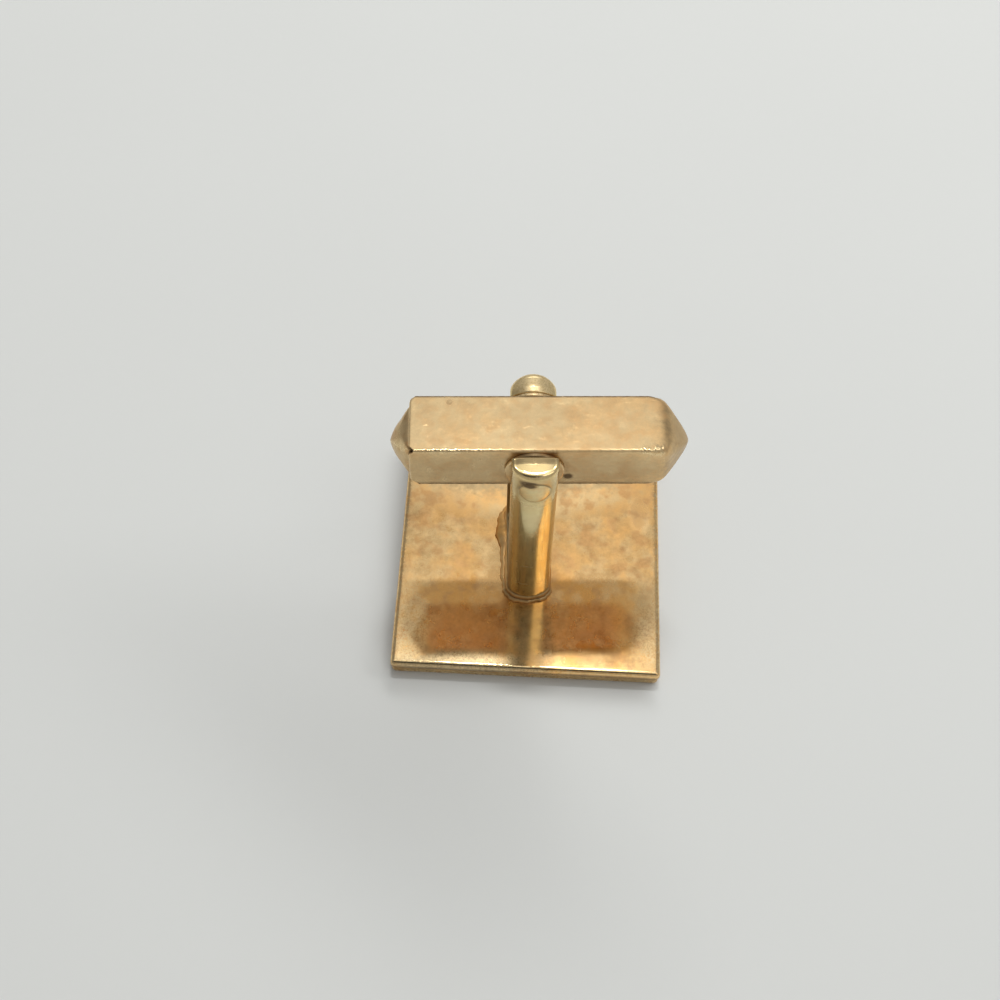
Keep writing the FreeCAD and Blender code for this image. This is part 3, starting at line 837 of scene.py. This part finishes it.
def gilt(name, gold, polish, rough, haze, ruddy=0.5, grain=0.6, wave=1.0, blotch=1.0, bloom=0.0,
         pits=0.5, scratches=0.5, patches=()):
    """Aged gilding, from the name of its gold.

    Polished gold is mixed with a share of dull gold, the haze, which comes and goes in clouds as far as
    blotch says; bloom makes the dull gold paler. The gold shifts towards ruddy tarnish and rusty freckles,
    is paler and burnished where the edge mark says it is rubbed, and brown where the grime mark, pits and
    patches hold dirt and painted shade; some patches paint paler highlights. Grain, slow waves, pits and
    straight scratches make its relief.
    """
    tint = bpy.context.scene.cufflink_finish
    material, graph = new_material(name)
    place = graph.place()
    cloud = graph.noise(place, 0.42, 3.0, 0.6, 1.0)
    mottle = graph.noise(place, 1.7, 4.0, 0.6, 2.0)
    fine = graph.noise(place, 16.0, 2.0, 0.6, 3.0)
    speck = graph.noise(place, 5.5, 2.0, 0.5, 4.0)
    blot = graph.noise(place, 1.1, 2.0, 0.5, 7.0)
    scored = graph.noise(graph.stretched(place, (0.35, 9.0, 9.0), (0.0, 0.0, 0.35)), 1.0, seed=5.0)
    crossed = graph.noise(graph.stretched(place, (0.3, 7.0, 7.0), (0.3, 0.2, -0.9)), 1.0, seed=6.0)
    score = abs(scored - 0.5).smooth(0.012, 0.0) * mottle.smooth(0.5, 0.62)
    score = score.most(abs(crossed - 0.5).smooth(0.01, 0.0) * cloud.smooth(0.52, 0.62))
    pit = speck.smooth(0.70, 0.78) * mottle.smooth(0.42, 0.6)

    rubbed = graph.mark("edge") * (mottle * 0.7 + speck * 0.9).smooth(0.62, 0.95)
    grime_and_shade = graph.mark("grime_and_shade") * (mottle * 0.8 + fine * 0.5).smooth(0.3, 0.75)
    dirt_and_shade = grime_and_shade.most(pit * pits)
    blush = (cloud * 0.7 + mottle * 0.3).smooth(0.42, 0.66) * ruddy
    dull = haze + ((cloud - 0.5) * 0.6 + (mottle - 0.5) * 0.9) * blotch
    dull = dull + (fine - 0.5) * 0.2 * grain - rubbed * 0.6
    freckle = (blot * 0.65 + mottle * 0.35).smooth(0.47, 0.62) * 0.7 * grain
    pale = rubbed * 0.8
    veils = []
    for kind, centre, reach, strength in patches:
        stain = graph.spot(place, centre, reach, mottle) * strength
        if kind == "ruddy":
            blush = blush.most(stain)
        # Paler spots: scuffs, and painted highlights in some patches
        elif kind == "scuff_and_highlight":
            stain = stain * (speck * 0.6 + fine * 0.6).smooth(0.45, 0.7)
            dull = dull + stain * 0.3
            pale = pale.most(stain)
        elif kind == "dull":
            dull = dull + stain
        elif kind == "polished":
            dull = dull - stain
        # Brown veils: tarnish, and painted shade where some patches darken faces
        elif kind == "tarnish_and_shade":
            stain = stain * (mottle * 0.7 + cloud * 0.5).smooth(0.2, 0.6)
            veils = [veils[0].most(stain)] if veils else [stain]
        # Dirt, and in one patch a painted shadow
        else:
            dirt_and_shade = dirt_and_shade.most(stain * (fine * 0.6 + mottle * 0.7).smooth(0.35, 0.6))

    shade = graph.mix(blush, getattr(tint, gold), tint.ruddy)
    shade = graph.mix(cloud.smooth(0.56, 0.42) * 0.3, shade, tint.pale_wear_and_highlight)
    shade = graph.mix(freckle, shade, tint.rust)
    for veil in veils:
        shade = graph.mix(veil, shade, tint.tarnish)
    shade = graph.mix(pale, shade, tint.pale_wear_and_highlight)
    shade = graph.mix(dirt_and_shade * 0.9, shade, tint.grime_and_shade)

    relief = fine * 0.12 * grain + (mottle * 1.2 + cloud * 3.5) * wave
    relief = relief - pit * 1.2 * pits - score * 0.7 * scratches - grime_and_shade * 0.6
    common = {"Base Color": shade, "Metallic": 1.0 - dirt_and_shade * 0.3, "Normal": graph.bump(relief, 4e-6)}
    gloss = polish * (1.0 - rubbed * 0.35) + score * 0.12 * scratches + dirt_and_shade * 0.32
    polished = graph.node("ShaderNodeBsdfPrincipled", None, {**common, "Roughness": gloss})
    bloomed = graph.mix((1.0 - freckle.most(blush * 0.8)) * bloom, shade, tint.pale_wear_and_highlight)
    hazy = graph.node("ShaderNodeBsdfPrincipled", None, {**common, "Base Color": bloomed, "Roughness": rough})
    graph.surface(graph.node("ShaderNodeMixShader", None, {0: dull, 1: polished, 2: hazy}))
    return material


def spring_steel():
    """Bare steel strip, brushed along its length, with a faint straw tint in clouds."""
    tint = bpy.context.scene.cufflink_finish
    material, graph = new_material("spring_steel_strip")
    place = graph.place()
    brushed = graph.noise(graph.stretched(place, (0.5, 30.0, 8.0)), 1.0, 3.0, 0.6, 1.0)
    cloud = graph.noise(place, 1.1, 3.0, 0.6, 2.0)
    shade = graph.mix(cloud.smooth(0.45, 0.7) * 0.4, tint.steel, tint.straw)
    graph.surface(graph.node("ShaderNodeBsdfPrincipled", None, {
        "Base Color": shade, "Metallic": 1.0, "Roughness": 0.25 + brushed * 0.2,
        "Normal": graph.bump(brushed, 3e-6, 0.6)}))
    return material


# Operators


class CUFFLINK_OT_back_plate(bpy.types.Operator):
    """Square back plate of the face, with glossy aged gilding"""

    bl_idname = "cufflink.back_plate"
    bl_label = "Back Plate"

    def execute(self, context):
        finish = gilt("plate_gilding", "plate_gold", polish=0.09, rough=0.46, haze=0.3, ruddy=0.7, grain=1.0,
                      wave=0.15, blotch=0.9, bloom=0.55, pits=0.05, scratches=0.03, patches=PLATE_PATCHES)
        add_piece("gilt_back_plate", plate_mesh(sizes()), finish, "back_plate", "post")
        return {"FINISHED"}


class CUFFLINK_OT_face_panel(bpy.types.Operator):
    """Bevelled front panel of the face, under the back plate"""

    bl_idname = "cufflink.face_panel"
    bl_label = "Front Panel"

    def execute(self, context):
        finish = gilt("front_gilding", "plate_gold", polish=0.2, rough=0.36, haze=0.5, ruddy=0.25, grain=0.5,
                      pits=0.2, scratches=0.9, patches=FRONT_PATCHES)
        add_piece("gilt_front", panel_mesh(sizes()), finish, "face_panel", "post")
        return {"FINISHED"}


class CUFFLINK_OT_post_yoke(bpy.types.Operator):
    """Post with two half-round arms on a bridge"""

    bl_idname = "cufflink.post_yoke"
    bl_label = "Post"

    def execute(self, context):
        finish = gilt("post_gilding", "post_gold", polish=0.1, rough=0.4, haze=0.2, ruddy=0.15, grain=0.2,
                      wave=0.25, blotch=0.35, pits=0.2, scratches=0.25, patches=POST_PATCHES)
        add_piece("gilt_post", yoke_mesh(sizes()), finish, "post_yoke", "post")
        return {"FINISHED"}


class CUFFLINK_OT_solder_bead(bpy.types.Operator):
    """Uneven bead of solder round the foot of the post"""

    bl_idname = "cufflink.solder_bead"
    bl_label = "Solder Bead"

    def execute(self, context):
        finish = gilt("solder_gilding", "plate_gold", polish=0.28, rough=0.5, haze=0.5, ruddy=0.7, wave=0.6,
                      pits=0.3, patches=SOLDER_PATCHES)
        add_piece("solder_fillet", solder_mesh(sizes()), finish, "solder_bead", "post")
        return {"FINISHED"}


class CUFFLINK_OT_pivot(bpy.types.Operator):
    """Riveted pivot pin, and a washer at each side of the bar"""

    bl_idname = "cufflink.pivot"
    bl_label = "Pivot and Washers"

    def execute(self, context):
        size = sizes()
        pin_finish = gilt("pivot_gilding", "post_gold", polish=0.18, rough=0.36, haze=0.4, pits=0.6,
                          patches=PIN_PATCHES)
        ring_finish = gilt("ring_gilding", "bar_gold", polish=0.25, rough=0.5, haze=0.6, ruddy=0.4, grain=0.8,
                           pits=0.4, patches=RING_PATCHES)
        add_piece("rivet_pin", pin_mesh(size), pin_finish, "pivot_pin", "post")
        for name, side, node in (("near_ring", -1, "near_washer"), ("far_ring", 1, "far_washer")):
            add_piece(name, washer_mesh(name, side, size), ring_finish, node, "toggle")
        return {"FINISHED"}


class CUFFLINK_OT_toggle_bar(bpy.types.Operator):
    """Hollow square bar with a pyramid nose, and the plug in its open end"""

    bl_idname = "cufflink.toggle_bar"
    bl_label = "Toggle Bar"

    def execute(self, context):
        size = sizes()
        shell_finish = gilt("bar_gilding", "bar_gold", polish=0.2, rough=0.54, haze=0.46, ruddy=0.15,
                            grain=0.4, pits=0.2, scratches=0.3, patches=BAR_PATCHES)
        plug_finish = gilt("plug_gilding", "bar_gold", polish=0.25, rough=0.45, haze=0.5, grain=1.0,
                           pits=0.8, patches=PLUG_PATCHES)
        add_piece("bar_shell", shell_mesh(size), shell_finish, "toggle_shell", "toggle")
        add_piece("bar_plug", plug_mesh(size), plug_finish, "end_plug", "toggle")
        return {"FINISHED"}


class CUFFLINK_OT_snap_spring(bpy.types.Operator):
    """Steel finish of the snap spring, which keeps its CAD shape inside the bar"""

    bl_idname = "cufflink.snap_spring"
    bl_label = "Snap Spring"

    def execute(self, context):
        spring = frame["nodes"]["snap_spring"]
        spring.data.materials.clear()
        spring.data.materials.append(spring_steel())
        return {"FINISHED"}


# Studio


def heading(azimuth, elevation):
    """Direction at an azimuth to the right of the front and an elevation, in radians."""
    level = math.cos(elevation)
    return Vector((math.sin(azimuth) * level, -math.cos(azimuth) * level, math.sin(elevation)))


def heading_degrees(azimuth, elevation):
    return heading(math.radians(azimuth), math.radians(elevation))


def studio_camera(stage):
    """Camera at its azimuth and elevation round the middle of the plate's upper side, rolled about its
    own axis and slid across its view."""
    back = heading(stage.azimuth, stage.elevation)
    right = heading(stage.azimuth + QUARTER, 0.0)
    up = back.cross(right)
    rolled_right = right * math.cos(stage.roll) + up * math.sin(stage.roll)
    rolled_up = up * math.cos(stage.roll) - right * math.sin(stage.roll)
    middle = Vector((bpy.context.scene.cufflink_sizes.face_shift, 0.0, PLATE_HIGH[2] * MM))
    spot = middle + rolled_right * stage.slide_right + rolled_up * stage.slide_up + back * stage.distance
    data = bpy.data.cameras.new("studio_camera")
    data.sensor_width = 36.0
    data.lens = stage.lens
    data.clip_start, data.clip_end = 0.001, 20.0
    camera = add_object("studio_camera", data)
    turn = Matrix((rolled_right, rolled_up, back)).transposed()
    camera.matrix_world = Matrix.Translation(spot) @ turn.to_4x4()
    bpy.context.scene.camera = camera


def studio_floor(stage):
    """Wide level disc: circles of growing radius just under the link, pale with a faint tooth."""
    under_link, smallest, widest = -0.02, 4.0, 1500.0
    around = round_about(128)
    radius = np.geomspace(smallest, widest, 40)[:, None]
    x, y = radius * np.cos(around), radius * np.sin(around)
    mesh = skin("studio_floor", np.stack((x, y, np.full(x.shape, under_link)), -1), last_pole=False)
    floor = add_object("studio_floor", mesh)
    material, graph = new_material("pale_table")
    place = graph.place()
    tooth = graph.noise(place, 1.2, 4.0, 0.6, 1.0)
    cloud = graph.noise(place, 0.03, 2.0, 0.5, 2.0)
    dimmer = tuple(0.94 * part for part in stage.floor)
    shade = graph.mix(cloud * 0.5 + tooth * 0.2, stage.floor, dimmer)
    graph.surface(graph.node("ShaderNodeBsdfPrincipled", None, {
        "Base Color": shade, "Roughness": 0.85, "Specular IOR Level": 0.15,
        "Normal": graph.bump(tooth, 2e-5, 0.3)}))
    mesh.materials.append(material)


def add_lamp(name, towards, distance, size, power):
    """Rectangular lamp in a direction from the link, facing it."""
    data = bpy.data.lights.new(name, "AREA")
    data.shape = "RECTANGLE"
    data.size, data.size_y = size
    data.energy = power
    lamp = add_object(name, data)
    lamp.location = towards * distance
    lamp.rotation_euler = towards.to_track_quat("Z", "Y").to_euler()
    return lamp


# The sky: its even level, soft round parts as level, azimuth, elevation, outer and inner reach in degrees,
# and the dark part about the camera
SKY_LEVEL = 0.40
SKY_PARTS = (
    (0.65, 180.0, 84.0, 24.0, 10.0),
    (1.2, 55.0, 60.0, 15.0, 11.0),
    (0.15, 180.0, 36.0, 24.0, 8.0),
    (-0.15, -90.0, 52.0, 55.0, 28.0),
)
SKY_DARK = (0.8, -15.0, 56.0, 24.0, 14.0)
SKY_COLOUR = (1.0, 0.99, 0.965, 1.0)


def studio_light(stage):
    """A window at the back on the right that shapes the shadow on the table, a short strip lamp overhead,
    and a soft sky, brighter at the top and in front on the right, and darker about the camera."""
    window = add_lamp("window", heading_degrees(138.0, 40.0), distance=0.6, size=(1.0, 0.15),
                      power=stage.window_power)
    window.visible_glossy = False

    # Mirrored more than once, the strip lamp's light would leave bright specks on the plate
    strip = add_lamp("strip_lamp", heading_degrees(174.0, 71.2), distance=0.3, size=(0.05, 0.008),
                     power=stage.strip_power)
    strip.data.cycles.max_bounces = 1
    strip.data.cycles.use_multiple_importance_sampling = False

    world = bpy.data.worlds.new("studio_sky")
    world.use_nodes = True
    bpy.context.scene.world = world
    graph = Graph(world.node_tree)
    direction = graph.node("ShaderNodeTexCoord").output("Generated")

    def part(strength, azimuth, elevation, outer, inner):
        """Soft round part of the sky: nothing beyond outer, its full strength within inner."""
        along = graph.vector("DOT_PRODUCT", direction, heading_degrees(azimuth, elevation)).output("Value")
        return strength * along.smooth(math.cos(math.radians(outer)), math.cos(math.radians(inner)))

    level = SKY_LEVEL
    for entry in SKY_PARTS:
        level = level + part(*entry)
    level = level * (1.0 - part(*SKY_DARK)) * stage.sky
    sky = graph.node("ShaderNodeBackground", None, {"Color": SKY_COLOUR, "Strength": level})
    graph.node("ShaderNodeOutputWorld", None, {"Surface": sky})


class CUFFLINK_OT_studio(bpy.types.Operator):
    """Pale table, soft light and the camera"""

    bl_idname = "cufflink.studio"
    bl_label = "Studio"

    def execute(self, context):
        stage = context.scene.cufflink_studio
        studio_floor(stage)
        studio_light(stage)
        studio_camera(stage)
        context.scene.view_settings.view_transform = "Standard"
        return {"FINISHED"}


OPERATORS = (CUFFLINK_OT_studio, CUFFLINK_OT_back_plate, CUFFLINK_OT_face_panel, CUFFLINK_OT_post_yoke,
             CUFFLINK_OT_solder_bead, CUFFLINK_OT_pivot, CUFFLINK_OT_toggle_bar, CUFFLINK_OT_snap_spring)
GROUPS = {"cufflink_sizes": CufflinkSizes, "cufflink_turn": CufflinkTurn, "cufflink_finish": CufflinkFinish,
          "cufflink_studio": CufflinkStudio}


class CUFFLINK_PT_panel(bpy.types.Panel):
    """Sizes, finishes and builders of the cufflink"""

    bl_idname = "CUFFLINK_PT_panel"
    bl_label = "Cufflink"
    bl_space_type = "VIEW_3D"
    bl_region_type = "UI"
    bl_category = "Cufflink"

    def draw(self, context):
        for name, group in GROUPS.items():
            box = self.layout.box()
            for setting in group.__annotations__:
                box.prop(getattr(context.scene, name), setting)
        for operator in OPERATORS:
            self.layout.operator(operator.bl_idname)


CLASSES = (*GROUPS.values(), *OPERATORS, CUFFLINK_PT_panel)


def register():
    for cls in CLASSES:
        bpy.utils.register_class(cls)
    for name, group in GROUPS.items():
        setattr(bpy.types.Scene, name, bpy.props.PointerProperty(type=group))


def unregister():
    for name in GROUPS:
        delattr(bpy.types.Scene, name)
    for cls in reversed(CLASSES):
        bpy.utils.unregister_class(cls)


def main():
    register()
    bpy.ops.cufflink.studio()
    bpy.ops.cufflink.back_plate()
    bpy.ops.cufflink.face_panel()
    bpy.ops.cufflink.post_yoke()
    bpy.ops.cufflink.solder_bead()
    bpy.ops.cufflink.pivot()
    bpy.ops.cufflink.toggle_bar()
    bpy.ops.cufflink.snap_spring()


if __name__ == "__main__":
    main()
